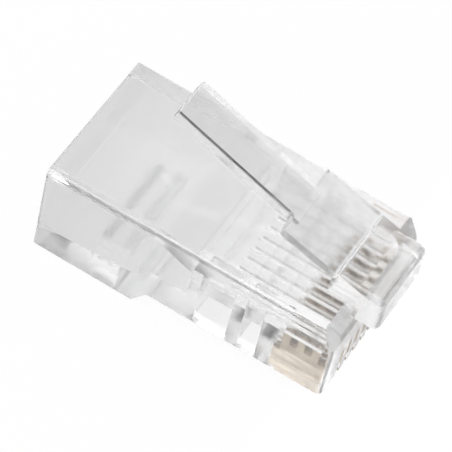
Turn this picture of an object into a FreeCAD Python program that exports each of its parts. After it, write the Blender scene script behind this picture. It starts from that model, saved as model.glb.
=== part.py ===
# Eight-way modular plug, not yet crimped, standing on its contact side with the latch up.
# Outlines are drawn with X from the cable end to the nose and Z from the latch-side face, up.
# The placements then put the origin under the middle of the plug, level with its lowest face.

import FreeCAD, Part
import Sketcher
import os
import re

CONTACTS = 8
PRONGS = 3

# How far a cut runs on past the face that it opens, in millimetres.
BEYOND = "1"

SIZES = {
    # Body
    "body_width": 11.68,
    "body_length": 22.2,
    "front_height": 6.6,
    "rear_height": 8.0,
    "rear_block": 7.72,
    "step_run": 1.05,
    "step_radius": 0.6,
    "front_setback": 1.0,
    "front_bevel": 1.9,
    "edge_radius": 0.35,
    "front_radius": 0.4,
    # Nose, the block in front of the body that the latch springs from
    "nose_width": 6.0,
    "nose_reach": 1.6,
    "nose_top": 1.9,
    "nose_flat": 2.5,
    "nose_drop": 1.45,
    "nose_radius": 0.55,
    "nose_corner": 0.55,
    # Cable cavity
    "wall": 1.0,
    "roof": 1.1,
    "mouth_depth": 1.5,
    "mouth_flare": 0.35,
    "cavity_floor": 6.3,
    "ramp_foot": 5.8,
    "ramp_foot_from_front": 15.2,
    "ramp_top": 4.7,
    "ramp_top_from_front": 13.3,
    "roof_end_from_front": 14.0,
    "throat_from_front": 10.9,
    # Comb of wire passages
    "contact_spacing": 1.02,
    "comb_from_front": 0.9,
    "comb_length": 7.8,
    "comb_depth": 2.95,
    "passage_height": 1.1,
    "passage_ridge": 0.15,
    "cut_overlap": 0.01,
    # Core pockets in the contact side, between the ribs under the comb, and the grooves at their ends
    "core_from_front": 7.55,
    "core_length": 2.5,
    "second_core_from_front": 5.25,
    "second_core_length": 1.4,
    "core_roof": 4.6,
    "groove_roof": 2.1,
    "groove_width": 0.6,
    "groove_web": 0.15,
    # Contacts and their slots
    "contact_thickness": 0.32,
    "contact_from_front": 0.2,
    "contact_length": 4.1,
    "contact_proud": 0.3,
    "heel_depth": 5.6,
    "toe_depth": 4.9,
    "prong_setback": 0.5,
    "prong_width": 0.55,
    "prong_spacing": 1.1,
    "prong_depth": 3.5,
    "prong_point": 0.3,
    "prong_gap_floor": 4.6,
    "toe_radius": 0.5,
    "heel_radius": 0.2,
    "slot_gap": 0.05,
    "crimp_stroke": 0.88,
    # Latch, hinged where it leaves the nose
    "root_setback": 2.36,
    "web_thickness": 0.7,
    "latch_width": 6.0,
    "shoulder_reach": 4.14,
    "shoulder_angle": 16.7,
    "arm_width": 3.05,
    "arm_thickness": 1.05,
    "arm_length": 10.05,
    "arm_angle": 20.7,
    "arm_overlap": 0.6,
    "latch_corner": 0.15,
    # Strain-relief bar and its window
    "bar_width": 6.5,
    "bar_pivot_from_rear": 5.95,
    "bar_pivot_depth": 6.35,
    "bar_web_radius": 0.4,
    "bar_length": 2.0,
    "bar_rise": 0.3,
    "bar_thickness": 1.3,
    "bar_foot_setback": 0.4,
    "bar_foot_length": 1.0,
    # Clearances
    "hinge_gap": 0.05,
    "bar_gap": 0.08,
}


# The latch's hinge: on the middle line of its thin web, whose upper face runs on from the nose's flat top.
ROOT_AHEAD = "body_length - root_setback"
ROOT_TOP = "(nose_top + (nose_reach + root_setback - nose_flat) * tan(shoulder_angle))"
ROOT_UP = ROOT_TOP + " - web_thickness / 2 / cos(shoulder_angle)"

# Places along the plug. All of them are measured back from the front face.
RAMP_FOOT = "body_length - ramp_foot_from_front"
RAMP_TOP = "body_length - ramp_top_from_front"
ROOF_END = "body_length - roof_end_from_front"
THROAT = "body_length - throat_from_front"
COMB_END = "body_length - comb_from_front"
COMB_START = COMB_END + " - comb_length"
CONTACT_FRONT = "body_length - contact_from_front"
CONTACT_REAR = CONTACT_FRONT + " - contact_length"
PRONG_START = CONTACT_REAR + " + prong_setback"

# The levels of the wire passages' tops and floors.
PASSAGE_TOP = "passage_height / 2 - comb_depth"
PASSAGE_FLOOR = "0 - comb_depth - passage_height / 2"


def make_sheet(doc):
    """The spreadsheet that holds every driving dimension, in millimetres and degrees."""
    sheet = doc.addObject("Spreadsheet::Sheet", "Size")
    for row, (alias, value) in enumerate(SIZES.items(), start=1):
        sheet.set("A%d" % row, alias)
        sheet.set("B%d" % row, str(value))
        sheet.setAlias("B%d" % row, alias)
    doc.recompute()
    return sheet


def size(text):
    """The expression for text in which every word that names a dimension points at the sheet."""
    return re.sub("[a-z_]+", lambda word: ("Size." if word[0] in SIZES else "") + word[0], text)


def new_body(doc, label, across="0"):
    """An empty body whose placement moves the outlines' origin to the row's origin."""
    body = doc.addObject("PartDesign::Body", label)
    body.Label = label
    body.setExpression("Placement.Base.x", size("0 - (body_length + nose_reach) / 2"))
    body.setExpression("Placement.Base.y", size(across))
    body.setExpression("Placement.Base.z", size("rear_height"))
    return body


def origin_feature(body, role):
    return next(feature for feature in body.Origin.OriginFeatures if feature.Role == role)


def new_sketch(body, name, role, frame):
    """A sketch on one of the body's own planes, shifted and turned in that plane by frame."""
    sketch = body.newObject("Sketcher::SketchObject", name)
    sketch.AttachmentSupport = [(origin_feature(body, role), "")]
    sketch.MapMode = "FlatFace"
    for path, text in (frame or {}).items():
        sketch.setExpression("AttachmentOffset." + path, size(text))
    return sketch


def outline(body, name, corners, role="XZ_Plane", frame=None):
    """A closed outline of straight lines. Each corner is a pair of expressions."""
    sketch = new_sketch(body, name, role, frame)
    count = len(corners)
    for index in range(count):
        start = FreeCAD.Vector(index, index * index, 0)
        end = FreeCAD.Vector(index + 1, (index + 1) ** 2, 0)
        sketch.addGeometry(Part.LineSegment(start, end), False)
    for index in range(count):
        sketch.addConstraint(Sketcher.Constraint("Coincident", index, 2, (index + 1) % count, 1))
    for index, corner in enumerate(corners):
        for kind, text in zip(("DistanceX", "DistanceY"), corner):
            number = sketch.addConstraint(Sketcher.Constraint(kind, -1, 1, index, 1, 1.0))
            sketch.setExpression("Constraints[%d]" % number, size(text))
    return sketch


def circle(body, name, centre, radius, role="XZ_Plane", frame=None):
    """One circle. Its centre is a pair of expressions."""
    sketch = new_sketch(body, name, role, frame)
    sketch.addGeometry(Part.Circle(FreeCAD.Vector(0, 0, 0), FreeCAD.Vector(0, 0, 1), 1.0), False)
    number = sketch.addConstraint(Sketcher.Constraint("Radius", 0, 1.0))
    sketch.setExpression("Constraints[%d]" % number, size(radius))
    for kind, text in zip(("DistanceX", "DistanceY"), centre):
        number = sketch.addConstraint(Sketcher.Constraint(kind, -1, 1, 0, 3, 1.0))
        sketch.setExpression("Constraints[%d]" % number, size(text))
    return sketch


def extrude(body, kind, name, sketch, length):
    """A pad or pocket that runs half of length to each side of its sketch."""
    feature = body.newObject("PartDesign::" + kind, name)
    feature.Profile = sketch
    feature.SideType = "Symmetric"
    feature.setExpression("Length", size(length))
    sketch.Visibility = False
    body.Tip = feature
    body.Document.recompute()
    return feature


def round_edges(body, name, base, radius, wanted):
    """A fillet on each edge of base whose middle is wanted."""
    edges = enumerate(base.Shape.Edges, start=1)
    names = ["Edge%d" % number for number, edge in edges if wanted(edge.CenterOfMass)]
    fillet = body.newObject("PartDesign::Fillet", name)
    fillet.Base = (base, names)
    fillet.setExpression("Radius", size(radius))
    body.Tip = fillet
    body.Document.recompute()
    return fillet


def repeat_across(body, name, feature):
    """Copies of feature at the contacts' spacing, along Y."""
    pattern = body.newObject("PartDesign::LinearPattern", name)
    pattern.Originals = [feature]
    pattern.Direction = (origin_feature(body, "Y_Axis"), [""])
    pattern.Occurrences = CONTACTS
    pattern.setExpression("Length", size("%d * contact_spacing" % (CONTACTS - 1)))
    body.Tip = pattern
    body.Document.recompute()
    return pattern


def near(a, b):
    return abs(a - b) < 0.001


def at_first_contact():
    """The frame of an upright outline in the middle plane of the first contact."""
    return {"Base.z": "%s * contact_spacing" % ((CONTACTS - 1) / 2)}


def housing_body(body, sheet):
    """The outer block with its taller rear part and the step between, drawn from the side."""
    side = [
        ("0", "0"),
        ("body_length - front_setback", "0"),
        ("body_length", "0 - front_bevel"),
        ("body_length", "0 - front_height"),
        ("rear_block + step_run", "0 - front_height"),
        ("rear_block", "0 - rear_height"),
        ("0", "0 - rear_height"),
    ]
    block = extrude(body, "Pad", "Block", outline(body, "SideView", side), "body_width")
    half = sheet.body_width / 2
    step = round_edges(body, "StepCorner", block, "step_radius",
                       lambda p: near(p.x, sheet.rear_block + sheet.step_run) and near(p.y, 0))
    front = round_edges(body, "FrontCorners", step, "front_radius",
                        lambda p: near(abs(p.y), half) and near(p.x, sheet.body_length))
    return round_edges(body, "LongEdges", front, "edge_radius",
                       lambda p: near(p.z, 0) and near(abs(p.y), half))


def housing_nose(body, sheet):
    """The rounded nose that stands ahead of the front face and carries the latch's root."""
    side = [
        (ROOT_AHEAD, "0 - nose_drop"),
        ("body_length + nose_reach", "0 - nose_drop"),
        ("body_length + nose_reach", "nose_top"),
        ("body_length + nose_reach - nose_flat", "nose_top"),
        (ROOT_AHEAD, ROOT_TOP),
    ]
    nose = extrude(body, "Pad", "Nose", outline(body, "NoseSide", side), "nose_width")
    tip = sheet.body_length + sheet.nose_reach
    corners = round_edges(body, "NoseCorners", nose, "nose_corner",
                          lambda p: near(p.x, tip) and near(abs(p.y), sheet.nose_width / 2))
    round_edges(body, "NoseLips", corners, "nose_radius",
                lambda p: near(p.x, tip) and near(p.y, 0))
    seat = circle(body, "LatchSeatSide", (ROOT_AHEAD, ROOT_UP), "web_thickness / 2 + hinge_gap")
    return extrude(body, "Pocket", "LatchSeat", seat, "nose_width + " + BEYOND)


def housing_cavity(body):
    """The cable cavity: a flared mouth, a flat roof, a floor that ramps up, and a throat before the comb."""
    side = [
        ("0 - " + BEYOND, "mouth_flare - roof"),
        ("0", "mouth_flare - roof"),
        ("mouth_depth", "0 - roof"),
        (ROOF_END, "0 - roof"),
        (THROAT, PASSAGE_TOP),
        (THROAT, "0 - ramp_top"),
        (RAMP_TOP, "0 - ramp_top"),
        (RAMP_FOOT, "0 - ramp_foot"),
        ("mouth_depth", "0 - cavity_floor"),
        ("0", "0 - cavity_floor - mouth_flare"),
        ("0 - " + BEYOND, "0 - cavity_floor - mouth_flare"),
    ]
    extrude(body, "Pocket", "Cavity", outline(body, "CavitySide", side), "body_width - 2 * wall")
    throat = [
        (THROAT + " - passage_ridge", PASSAGE_FLOOR),
        (COMB_START + " + passage_ridge", PASSAGE_FLOOR),
        (COMB_START + " + passage_ridge", PASSAGE_TOP),
        (THROAT + " - passage_ridge", PASSAGE_TOP),
    ]
    across = "%d * contact_spacing" % CONTACTS
    extrude(body, "Pocket", "Throat", outline(body, "ThroatSide", throat), across)
    plan = [
        ("0 - " + BEYOND, "body_width / 2 - wall + mouth_flare"),
        ("0", "body_width / 2 - wall + mouth_flare"),
        ("mouth_depth", "body_width / 2 - wall"),
        ("mouth_depth", "wall - body_width / 2"),
        ("0", "wall - body_width / 2 - mouth_flare"),
        ("0 - " + BEYOND, "wall - body_width / 2 - mouth_flare"),
    ]
    middle = {"Base.z": "0 - (roof + cavity_floor) / 2"}
    flare = outline(body, "MouthPlan", plan, "XY_Plane", middle)
    return extrude(body, "Pocket", "MouthFlare", flare, "cavity_floor - roof")


def housing_comb(body):
    """The eight wire passages side by side. Each opens into the next, between ridges above and below."""
    middle = {
        "Base.x": "-%s * contact_spacing" % ((CONTACTS - 1) / 2),
        "Base.y": "0 - comb_depth",
        "Base.z": COMB_END + " - comb_length / 2",
    }
    wide = "contact_spacing / 2 + cut_overlap"
    flat = wide + " - passage_ridge"
    tall = "passage_height / 2"
    side = tall + " - passage_ridge"
    corners = [
        ("0 - (" + wide + ")", "0 - (" + side + ")"),
        ("0 - (" + flat + ")", "0 - " + tall),
        (flat, "0 - " + tall),
        (wide, "0 - (" + side + ")"),
        (wide, side),
        (flat, tall),
        ("0 - (" + flat + ")", tall),
        ("0 - (" + wide + ")", side),
    ]
    end_view = outline(body, "PassageEnd", corners, "YZ_Plane", middle)
    passage = extrude(body, "Pocket", "Passage", end_view, "comb_length")
    return repeat_across(body, "Passages", passage)


def up_from_contact_side(start, end, roof):
    """The corners of a cut between start and end, from below the contact side up to roof."""
    return [
        (start, "0 - front_height - " + BEYOND),
        (end, "0 - front_height - " + BEYOND),
        (end, roof),
        (start, roof),
    ]


def housing_cores(body):
    """Two shallow pockets across the contact side. At both ends each rises in a groove beside the comb."""
    groove_middle = "(%d * contact_spacing + groove_width) / 2 + groove_web" % CONTACTS
    for name, word in (("Core", "core"), ("SecondCore", "second_core")):
        end = "body_length - %s_from_front" % word
        start = end + " - %s_length" % word
        low = up_from_contact_side(start, end, "0 - core_roof")
        pocket = outline(body, name + "Side", low)
        extrude(body, "Pocket", name, pocket, "%d * contact_spacing + 2 * groove_web" % CONTACTS)
        high = up_from_contact_side(start, end, "0 - groove_roof")
        for side, sign in (("Near", "0 - "), ("Far", "0 + ")):
            shift = {"Base.z": sign + "(" + groove_middle + ")"}
            groove = outline(body, name + side + "GrooveSide", high, frame=shift)
            extrude(body, "Pocket", name + side + "Groove", groove, "groove_width + 2 * cut_overlap")


def housing_slots(body):
    """The contact slots, open at the contact side and at the front, with room for the crimp stroke."""
    rear = CONTACT_REAR + " - slot_gap"
    first = PRONG_START + " - slot_gap"
    last = PRONG_START + " + %d * prong_spacing + prong_width + slot_gap" % (PRONGS - 1)
    heel = "crimp_stroke + slot_gap - heel_depth"
    toe = "crimp_stroke + slot_gap - toe_depth"
    side = [
        (rear, "0 - front_height - " + BEYOND),
        (rear, heel),
        (first, heel),
        (first, "0 - comb_depth"),
        (last, "0 - comb_depth"),
        (last, toe),
        ("body_length + " + BEYOND, toe),
        ("body_length + " + BEYOND, "0 - front_height - " + BEYOND),
    ]
    sketch = outline(body, "SlotSide", side, frame=at_first_contact())
    slot = extrude(body, "Pocket", "Slot", sketch, "contact_thickness + 2 * slot_gap")
    return repeat_across(body, "Slots", slot)


def housing_window(body):
    """The window under the cavity that the strain-relief bar folds through, with the bar's seat."""
    rear = "bar_pivot_from_rear - bar_length - bar_gap"
    side = [
        (rear, "0 - rear_height - " + BEYOND),
        ("bar_pivot_from_rear + bar_gap", "0 - rear_height - " + BEYOND),
        ("bar_pivot_from_rear + bar_gap", "0 - ramp_foot + " + BEYOND),
        (rear, "0 - ramp_foot + " + BEYOND),
    ]
    extrude(body, "Pocket", "Window", outline(body, "WindowSide", side), "bar_width + 2 * bar_gap")
    seat = circle(body, "BarSeatSide", ("bar_pivot_from_rear", "0 - bar_pivot_depth"),
                  "bar_web_radius + hinge_gap")
    return extrude(body, "Pocket", "BarSeat", seat, "bar_width + 2 * bar_gap")


def make_housing(doc, sheet):
    """The clear moulding."""
    body = new_body(doc, "housing")
    housing_body(body, sheet)
    housing_nose(body, sheet)
    housing_cavity(body)
    housing_comb(body)
    housing_cores(body)
    housing_slots(body)
    housing_window(body)
    return body


def make_latch(doc, sheet):
    """The release lever: a round root in the nose, a wide thin web that ends in two shoulders, and the arm."""
    body = new_body(doc, "latch")
    pivot = {"Base.x": ROOT_AHEAD, "Base.y": ROOT_UP}
    root = circle(body, "RootSide", ("0", "0"), "web_thickness / 2", frame=pivot)
    extrude(body, "Pad", "Root", root, "latch_width")
    rise = "shoulder_reach * tan(shoulder_angle)"
    half = "web_thickness / 2"
    wide = [
        (half + " * sin(shoulder_angle)", half + " * cos(shoulder_angle)"),
        ("0 - shoulder_reach", rise + " + " + half + " / cos(shoulder_angle)"),
        ("0 - shoulder_reach", rise + " - " + half + " / cos(shoulder_angle)"),
        ("0 - " + half + " * sin(shoulder_angle)", "0 - " + half + " * cos(shoulder_angle)"),
    ]
    extrude(body, "Pad", "WidePart", outline(body, "WideSide", wide, frame=pivot), "latch_width")
    arm_frame = {
        "Base.x": ROOT_AHEAD + " - shoulder_reach",
        "Base.y": ROOT_UP + " + " + rise,
        "Rotation.Angle": "0 - arm_angle",
    }
    arm = [
        ("arm_overlap", half),
        ("0 - arm_length", half),
        ("0 - arm_length", half + " - arm_thickness"),
        ("arm_overlap", half + " - arm_thickness"),
    ]
    lever = extrude(body, "Pad", "Arm", outline(body, "ArmSide", arm, frame=arm_frame), "arm_width")
    end = lever.Shape.BoundBox.XMin + sheet.arm_thickness
    round_edges(body, "ArmEnd", lever, "latch_corner", lambda p: p.x < end)
    return body


def make_bar(doc):
    """The strain-relief bar: a wedge that hangs from a round web at its front."""
    body = new_body(doc, "strain_relief_bar")
    web = circle(body, "WebSide", ("bar_pivot_from_rear", "0 - bar_pivot_depth"), "bar_web_radius")
    extrude(body, "Pad", "Web", web, "bar_width")
    foot = "bar_pivot_from_rear - bar_length + bar_foot_setback"
    side = [
        ("bar_pivot_from_rear", "bar_web_radius - bar_pivot_depth"),
        ("bar_pivot_from_rear - bar_length", "bar_rise - bar_pivot_depth"),
        (foot, "bar_rise - bar_pivot_depth - bar_thickness"),
        (foot + " + bar_foot_length", "bar_rise - bar_pivot_depth - bar_thickness"),
        ("bar_pivot_from_rear", "0 - bar_pivot_depth - bar_web_radius"),
    ]
    extrude(body, "Pad", "Wedge", outline(body, "WedgeSide", side), "bar_width")
    return body


def prong_corners():
    """The corners of the three pointed prongs, from the rear one to the front one."""
    corners = []
    for index in range(PRONGS):
        left = PRONG_START + " + %d * prong_spacing" % index
        right = left + " + prong_width"
        shoulder = "0 - prong_depth - prong_point"
        corners.append((left, "0 - prong_gap_floor"))
        corners.append((left, shoulder))
        corners.append((left + " + prong_width / 2", "0 - prong_depth"))
        corners.append((right, shoulder))
        corners.append((right, "0 - prong_gap_floor"))
    return corners


def make_contact(doc, sheet, number):
    """One stamped contact blade, standing proud of the contact side until it is crimped."""
    across = "%s * contact_spacing" % (number - (CONTACTS + 1) / 2)
    body = new_body(doc, "contact_%d" % number, across)
    edge = "0 - front_height - contact_proud"
    prongs = prong_corners()
    prongs[0] = (PRONG_START, "0 - heel_depth")
    prongs[-1] = (prongs[-1][0], "0 - toe_depth")
    side = [
        (CONTACT_REAR, edge),
        (CONTACT_REAR, "0 - heel_depth"),
    ] + prongs + [
        (CONTACT_FRONT, "0 - toe_depth"),
        (CONTACT_FRONT, edge),
    ]
    blade = extrude(body, "Pad", "Blade", outline(body, "BladeSide", side), "contact_thickness")
    low = 0 - sheet.front_height - sheet.contact_proud
    front = sheet.body_length - sheet.contact_from_front
    toe = round_edges(body, "Toe", blade, "toe_radius",
                      lambda p: near(p.z, low) and near(p.x, front))
    round_edges(body, "Heel", toe, "heel_radius",
                lambda p: near(p.z, low) and near(p.x, front - sheet.contact_length))
    return body


def check_document(doc):
    """Stops if any object failed to compute."""
    for item in doc.Objects:
        if "Invalid" in item.State or "Error" in item.State:
            raise RuntimeError("%s failed: %s" % (item.Name, item.State))


def main():
    doc = FreeCAD.newDocument("plug")
    sheet = make_sheet(doc)
    bodies = [make_housing(doc, sheet), make_latch(doc, sheet), make_bar(doc)]
    for number in range(1, CONTACTS + 1):
        bodies.append(make_contact(doc, sheet, number))
    doc.recompute()
    check_document(doc)
    for body in bodies:
        if body.Shape.isNull() or not body.Shape.isValid():
            raise RuntimeError("%s has no valid shape" % body.Label)
    os.makedirs("parts", exist_ok=True)
    for body in bodies:
        body.Shape.exportStep("parts/%s.step" % body.Label)
        box = body.Shape.BoundBox
        print("%-18s solids %d volume %9.3f X %7.3f %7.3f Y %7.3f %7.3f Z %7.3f %7.3f" % (
            body.Label, len(body.Shape.Solids), body.Shape.Volume,
            box.XMin, box.XMax, box.YMin, box.YMax, box.ZMin, box.ZMax))


main()
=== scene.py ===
# Looks of the clear modular plug: moulded clear plastic, gold-plated contacts, a white table and
# soft light. Lengths are in metres, in the frame's own axes: X runs from the cable end to the
# contact end, and Z is up.

import bpy
from mathutils import Matrix, Vector

MM = 0.001

# Camera: the photograph's viewing direction, and the point at the middle of the picture.
VIEW_RIGHT = Vector((0.84798, 0.50753, 0.15279))
VIEW_DOWN = Vector((0.49005, -0.64090, -0.59084))
VIEW_AHEAD = Vector((-0.20195, 0.57590, -0.79218))
AIM_POINT = Vector((-1.005, 0.048, 4.498)) * MM
PICTURE_WIDTH = 30.05 * MM
CAMERA_NEAR = 0.01
CAMERA_FAR = 10
# These two are in millimetres, as a camera takes them.
LENS = 300
SENSOR = 36

# Table: white paper, which rays through the plastic find grey, paler towards the contact end. This
# grey is painted shade towards the cable end and painted light towards the contact end, not cast by
# any lamp.
TABLE_DROP = 0.05 * MM
TABLE_HALF = 1.5
TABLE_WHITE_LOW = 0.90
TABLE_WHITE_HIGH = 0.92
TABLE_GLOW = 0.95
TABLE_PAINTED_SHADE_REAR = 0.72
TABLE_PAINTED_LIGHT_FRONT = 1.06
TABLE_PAINTED_SHADE_SPAN = (-12 * MM, 12 * MM)
TOOTH_SCALE = 400

# Sky and lamp. The flag's edge and core are cosines of the angle from its middle.
WORLD_LIGHT = 0.75
SKY_SEEN = 1.0
FLAG_DARK = 0.02
FLAG_DIRECTION = (0.30, 0.576, 0.76)
FLAG_EDGE = 0.935
FLAG_CORE = 0.978
SOFTBOX_POWER = 0.6
SOFTBOX_SIZE = 0.25
SOFTBOX_PLACE = Vector((-0.12, -0.10, 0.30))
LIGHT_BOUNCES = 32

# Clear plastic.
PLASTIC_IOR = 1.585
PLASTIC_CLEARNESS = 0.97
PLASTIC_TINT_LOW = (0.988, 0.988, 0.991)
PLASTIC_TINT_HIGH = (0.998, 0.998, 0.998)
PLASTIC_ROUGHNESS = 0.15
POLISHED_ROUGHNESS = 0.07
FRONT_ROUGHNESS = 0.18
# Where the finish changes: the place on one axis where the change starts, and where it ends.
FRONT_END = (8.3 * MM, 9.3 * MM)
SIDE_REAR = (-1.6 * MM, -0.9 * MM)
SIDE_FRONT = (8.6 * MM, 8.2 * MM)
SIDE_DEPTH = (4.4 * MM, 4.7 * MM)
ARM_FRONT = (2.2 * MM, 1.6 * MM)
# Flow waves and mould finish: scales in cycles per metre, depths in metres.
FLOW_SCALE = 350
FLOW_STRETCH = (0.35, 1, 1)
FLOW_DETAIL = 2
FLOW_DEPTH = 0.03 * MM
FLOW_STRENGTH = 0.6
FINISH_SCALE = 6000
FINISH_DETAIL = 4
FINISH_DEPTH = 0.001 * MM
FINISH_STRENGTH = 0.3

# Gold-plated contacts.
GOLD_THIN = (0.70, 0.61, 0.50)
GOLD_FULL = (0.92, 0.81, 0.67)
GOLD_SMOOTH = 0.50
GOLD_ROUGH = 0.64
GRAIN_SCALE = 2500
GRAIN_STRETCH = (0.12, 1, 1)
GRAIN_DEPTH = 0.004 * MM
GRAIN_STRENGTH = 0.5
PATCH_SCALE = 900
PATCH_DETAIL = 2


def node(tree, kind, **settings):
    """A new shader node with some of its settings."""
    made = tree.nodes.new(kind)
    for name, value in settings.items():
        setattr(made, name, value)
    return made


def feed(tree, value, socket):
    """Links a value to a socket, or sets it there if it is a number."""
    if isinstance(value, (int, float)):
        socket.default_value = value
    else:
        tree.links.new(value, socket)


def new_material(name):
    """An empty node material and its surface output."""
    material = bpy.data.materials.new(name)
    material.use_nodes = True
    material.node_tree.nodes.clear()
    output = node(material.node_tree, "ShaderNodeOutputMaterial")
    return material, material.node_tree, output


def grey(level):
    """The colour of one grey level."""
    return (level, level, level)


def calculate(tree, operation, *values):
    """The result of one operation on values and numbers."""
    made = node(tree, "ShaderNodeMath", operation=operation)
    for value, socket in zip(values, made.inputs):
        feed(tree, value, socket)
    return made.outputs["Value"]


def change(tree, value, edge, low=0.0, high=1.0):
    """low up to the first value of edge, high beyond the second, and a slope between them."""
    made = node(tree, "ShaderNodeMapRange")
    feed(tree, value, made.inputs["Value"])
    feed(tree, edge[0], made.inputs["From Min"])
    feed(tree, edge[1], made.inputs["From Max"])
    feed(tree, low, made.inputs["To Min"])
    feed(tree, high, made.inputs["To Max"])
    return made.outputs["Result"]


def object_place(tree):
    """The object's own coordinates, each by itself."""
    place = node(tree, "ShaderNodeTexCoord")
    split = node(tree, "ShaderNodeSeparateXYZ")
    tree.links.new(place.outputs["Object"], split.inputs["Vector"])
    return split.outputs


def object_noise(tree, scale, stretch=(1, 1, 1), detail=3):
    """Noise in the object's own coordinates, with scale in cycles per metre."""
    place = node(tree, "ShaderNodeTexCoord")
    mapping = node(tree, "ShaderNodeMapping")
    mapping.inputs["Scale"].default_value = stretch
    noise = node(tree, "ShaderNodeTexNoise")
    noise.inputs["Scale"].default_value = scale
    noise.inputs["Detail"].default_value = detail
    tree.links.new(place.outputs["Object"], mapping.inputs["Vector"])
    tree.links.new(mapping.outputs["Vector"], noise.inputs["Vector"])
    return noise.outputs["Fac"]


def ramp(tree, share, low, high, start=0.3, end=0.7):
    """Two colours mixed by share, between start and end."""
    made = node(tree, "ShaderNodeValToRGB")
    first, last = made.color_ramp.elements
    first.position, last.position = start, end
    first.color, last.color = (*low, 1), (*high, 1)
    tree.links.new(share, made.inputs["Fac"])
    return made.outputs["Color"]


def bump(tree, height, depth, strength, under=None):
    """A bump of that depth in metres, laid over another normal if there is one."""
    made = node(tree, "ShaderNodeBump")
    made.inputs["Distance"].default_value = depth
    made.inputs["Strength"].default_value = strength
    tree.links.new(height, made.inputs["Height"])
    if under:
        tree.links.new(under, made.inputs["Normal"])
    return made.outputs["Normal"]


def mixed(tree, share, first, second):
    """Two shaders mixed by share, 0 for the first and 1 for the second."""
    made = node(tree, "ShaderNodeMixShader")
    tree.links.new(share, made.inputs["Fac"])
    tree.links.new(first, made.inputs[1])
    tree.links.new(second, made.inputs[2])
    return made.outputs["Shader"]


def polished_sides(tree, place):
    """1 on the side walls and the core pockets' ends, in the front half."""
    rear = change(tree, place["X"], SIDE_REAR)
    front = change(tree, place["X"], SIDE_FRONT)
    side = change(tree, calculate(tree, "ABSOLUTE", place["Y"]), SIDE_DEPTH)
    return calculate(tree, "MULTIPLY", calculate(tree, "MULTIPLY", rear, front), side)


def polished_arm(tree, place):
    """1 on the narrow arm of the latch."""
    return change(tree, place["X"], ARM_FRONT)


def clear_plastic(name, polished):
    """Clear moulded plastic: faint flow waves along the plug, a fine mould finish and a cool tint,
    smoother where it is polished."""
    material, tree, output = new_material(name)
    shader = node(tree, "ShaderNodeBsdfPrincipled")
    shader.inputs["Transmission Weight"].default_value = PLASTIC_CLEARNESS
    shader.inputs["IOR"].default_value = PLASTIC_IOR
    place = object_place(tree)
    plain = change(tree, place["X"], FRONT_END, PLASTIC_ROUGHNESS, FRONT_ROUGHNESS)
    roughness = change(tree, polished(tree, place), (0, 1), plain, POLISHED_ROUGHNESS)
    flow = object_noise(tree, FLOW_SCALE, FLOW_STRETCH, FLOW_DETAIL)
    finish = object_noise(tree, FINISH_SCALE, detail=FINISH_DETAIL)
    waves = bump(tree, flow, FLOW_DEPTH, FLOW_STRENGTH)
    surface = bump(tree, finish, FINISH_DEPTH, FINISH_STRENGTH, waves)
    tint = ramp(tree, flow, PLASTIC_TINT_LOW, PLASTIC_TINT_HIGH)
    tree.links.new(tint, shader.inputs["Base Color"])
    tree.links.new(roughness, shader.inputs["Roughness"])
    tree.links.new(surface, shader.inputs["Normal"])
    tree.links.new(shader.outputs["BSDF"], output.inputs["Surface"])
    return material


def contact_gold():
    """Pale gold plate over stamped metal: drawn lines along the blade, patches of thinner plate."""
    material, tree, output = new_material("contact_gold")
    shader = node(tree, "ShaderNodeBsdfPrincipled")
    shader.inputs["Metallic"].default_value = 1.0
    grain = object_noise(tree, GRAIN_SCALE, GRAIN_STRETCH)
    patches = object_noise(tree, PATCH_SCALE, detail=PATCH_DETAIL)
    colour = ramp(tree, patches, GOLD_THIN, GOLD_FULL)
    roughness = ramp(tree, grain, grey(GOLD_SMOOTH), grey(GOLD_ROUGH))
    surface = bump(tree, grain, GRAIN_DEPTH, GRAIN_STRENGTH)
    tree.links.new(colour, shader.inputs["Base Color"])
    tree.links.new(roughness, shader.inputs["Roughness"])
    tree.links.new(surface, shader.inputs["Normal"])
    tree.links.new(shader.outputs["BSDF"], output.inputs["Surface"])
    return material


def seen_rays(tree, rays):
    """1 for rays that show the surroundings: to the camera, mirrored or through the plastic."""
    direct = calculate(tree, "MAXIMUM", rays["Is Camera Ray"], rays["Is Glossy Ray"])
    return calculate(tree, "MAXIMUM", direct, rays["Is Transmission Ray"])


def table_white():
    """White table paper with a faint tooth. The camera finds it white, and other seen rays find it
    grey,
    paler towards the contact end: painted shade towards the cable end, painted light towards the
    contact end."""
    material, tree, output = new_material("table_white")
    rays = node(tree, "ShaderNodeLightPath").outputs
    paper = node(tree, "ShaderNodeBsdfDiffuse")
    glow = node(tree, "ShaderNodeEmission")
    glow.inputs["Strength"].default_value = 1.0
    tooth = object_noise(tree, TOOTH_SCALE)
    shade = ramp(tree, tooth, grey(TABLE_WHITE_LOW), grey(TABLE_WHITE_HIGH))
    # Painted shade and light: the grey that seen rays find is darker towards the cable end and
    # brighter than white towards the contact end.
    painted_shade_fade = change(tree, object_place(tree)["X"], TABLE_PAINTED_SHADE_SPAN, TABLE_PAINTED_SHADE_REAR, TABLE_PAINTED_LIGHT_FRONT)
    seen = calculate(tree, "MAXIMUM", painted_shade_fade, rays["Is Camera Ray"])
    share = calculate(tree, "MULTIPLY", seen_rays(tree, rays), TABLE_GLOW)
    tree.links.new(shade, paper.inputs["Color"])
    tree.links.new(seen, glow.inputs["Color"])
    surface = mixed(tree, share, paper.outputs["BSDF"], glow.outputs["Emission"])
    tree.links.new(surface, output.inputs["Surface"])
    return material


def make_table():
    """The white table that the plug stands on."""
    mesh = bpy.data.meshes.new("table")
    half = TABLE_HALF
    corners = [(-half, -half, 0), (half, -half, 0), (half, half, 0), (-half, half, 0)]
    mesh.from_pydata(corners, [], [(0, 1, 2, 3)])
    table = bpy.data.objects.new("table", mesh)
    table.location.z = -TABLE_DROP
    bpy.context.scene.collection.objects.link(table)
    mesh.materials.append(table_white())


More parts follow.
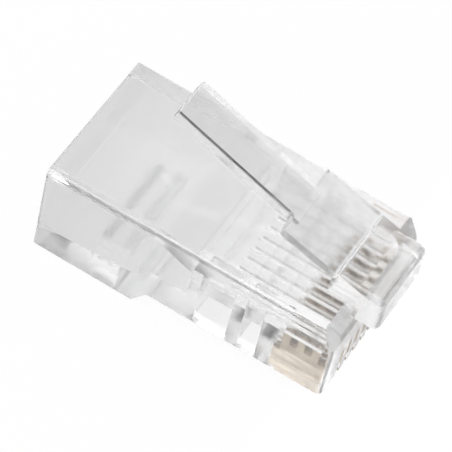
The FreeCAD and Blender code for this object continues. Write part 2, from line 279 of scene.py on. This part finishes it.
def make_world():
    """Even white light all round. Seen rays find it pale, with a dark flag behind the plug."""
    world = bpy.data.worlds.new("studio")
    world.use_nodes = True
    tree = world.node_tree
    tree.nodes.clear()
    output = node(tree, "ShaderNodeOutputWorld")
    rays = node(tree, "ShaderNodeLightPath").outputs
    light = node(tree, "ShaderNodeBackground")
    light.inputs["Strength"].default_value = WORLD_LIGHT
    seen = node(tree, "ShaderNodeBackground")
    place = node(tree, "ShaderNodeTexCoord")
    toward_flag = node(tree, "ShaderNodeVectorMath", operation="DOT_PRODUCT")
    toward_flag.inputs[1].default_value = FLAG_DIRECTION
    tree.links.new(place.outputs["Generated"], toward_flag.inputs[0])
    sky = ramp(tree, toward_flag.outputs["Value"], grey(SKY_SEEN), grey(FLAG_DARK),
               FLAG_EDGE, FLAG_CORE)
    tree.links.new(sky, seen.inputs["Color"])
    surface = mixed(tree, seen_rays(tree, rays),
                    light.outputs["Background"], seen.outputs["Background"])
    tree.links.new(surface, output.inputs["Surface"])
    bpy.context.scene.world = world


def make_softbox():
    """One large soft lamp above, behind the cable end."""
    lamp = bpy.data.lights.new("softbox", "AREA")
    lamp.size = SOFTBOX_SIZE
    lamp.energy = SOFTBOX_POWER
    softbox = bpy.data.objects.new("softbox", lamp)
    softbox.location = SOFTBOX_PLACE
    softbox.rotation_euler = SOFTBOX_PLACE.to_track_quat("Z", "Y").to_euler()
    bpy.context.scene.collection.objects.link(softbox)


def make_camera():
    """A long lens from the photograph's direction."""
    camera = bpy.data.cameras.new("camera")
    camera.lens = LENS
    camera.sensor_width = SENSOR
    camera.clip_start = CAMERA_NEAR
    camera.clip_end = CAMERA_FAR
    made = bpy.data.objects.new("camera", camera)
    turn = Matrix((VIEW_RIGHT, -VIEW_DOWN, -VIEW_AHEAD)).transposed()
    distance = PICTURE_WIDTH * LENS / SENSOR
    made.matrix_world = Matrix.Translation(AIM_POINT - VIEW_AHEAD * distance) @ turn.to_4x4()
    bpy.context.scene.collection.objects.link(made)
    bpy.context.scene.camera = made


def dress(pieces, material):
    """Gives pieces of the plug their finish."""
    for piece in pieces:
        piece.data.materials.clear()
        piece.data.materials.append(material)


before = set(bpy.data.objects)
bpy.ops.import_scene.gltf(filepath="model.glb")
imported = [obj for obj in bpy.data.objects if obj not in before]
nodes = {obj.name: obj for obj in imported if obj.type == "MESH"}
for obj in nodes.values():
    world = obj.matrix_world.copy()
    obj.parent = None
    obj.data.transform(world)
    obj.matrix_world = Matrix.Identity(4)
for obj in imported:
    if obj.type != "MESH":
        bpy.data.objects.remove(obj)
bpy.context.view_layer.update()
moulded = [nodes["housing"], nodes["strain_relief_bar"]]
contacts = [nodes[name] for name in nodes if name.startswith("contact_")]
dress(moulded, clear_plastic("clear_plastic", polished_sides))
dress([nodes["latch"]], clear_plastic("clear_latch", polished_arm))
dress(contacts, contact_gold())
make_camera()
make_world()
make_softbox()
make_table()
scene = bpy.context.scene
scene.view_settings.view_transform = "Standard"
scene.cycles.max_bounces = LIGHT_BOUNCES
scene.cycles.transmission_bounces = LIGHT_BOUNCES
scene.cycles.glossy_bounces = LIGHT_BOUNCES
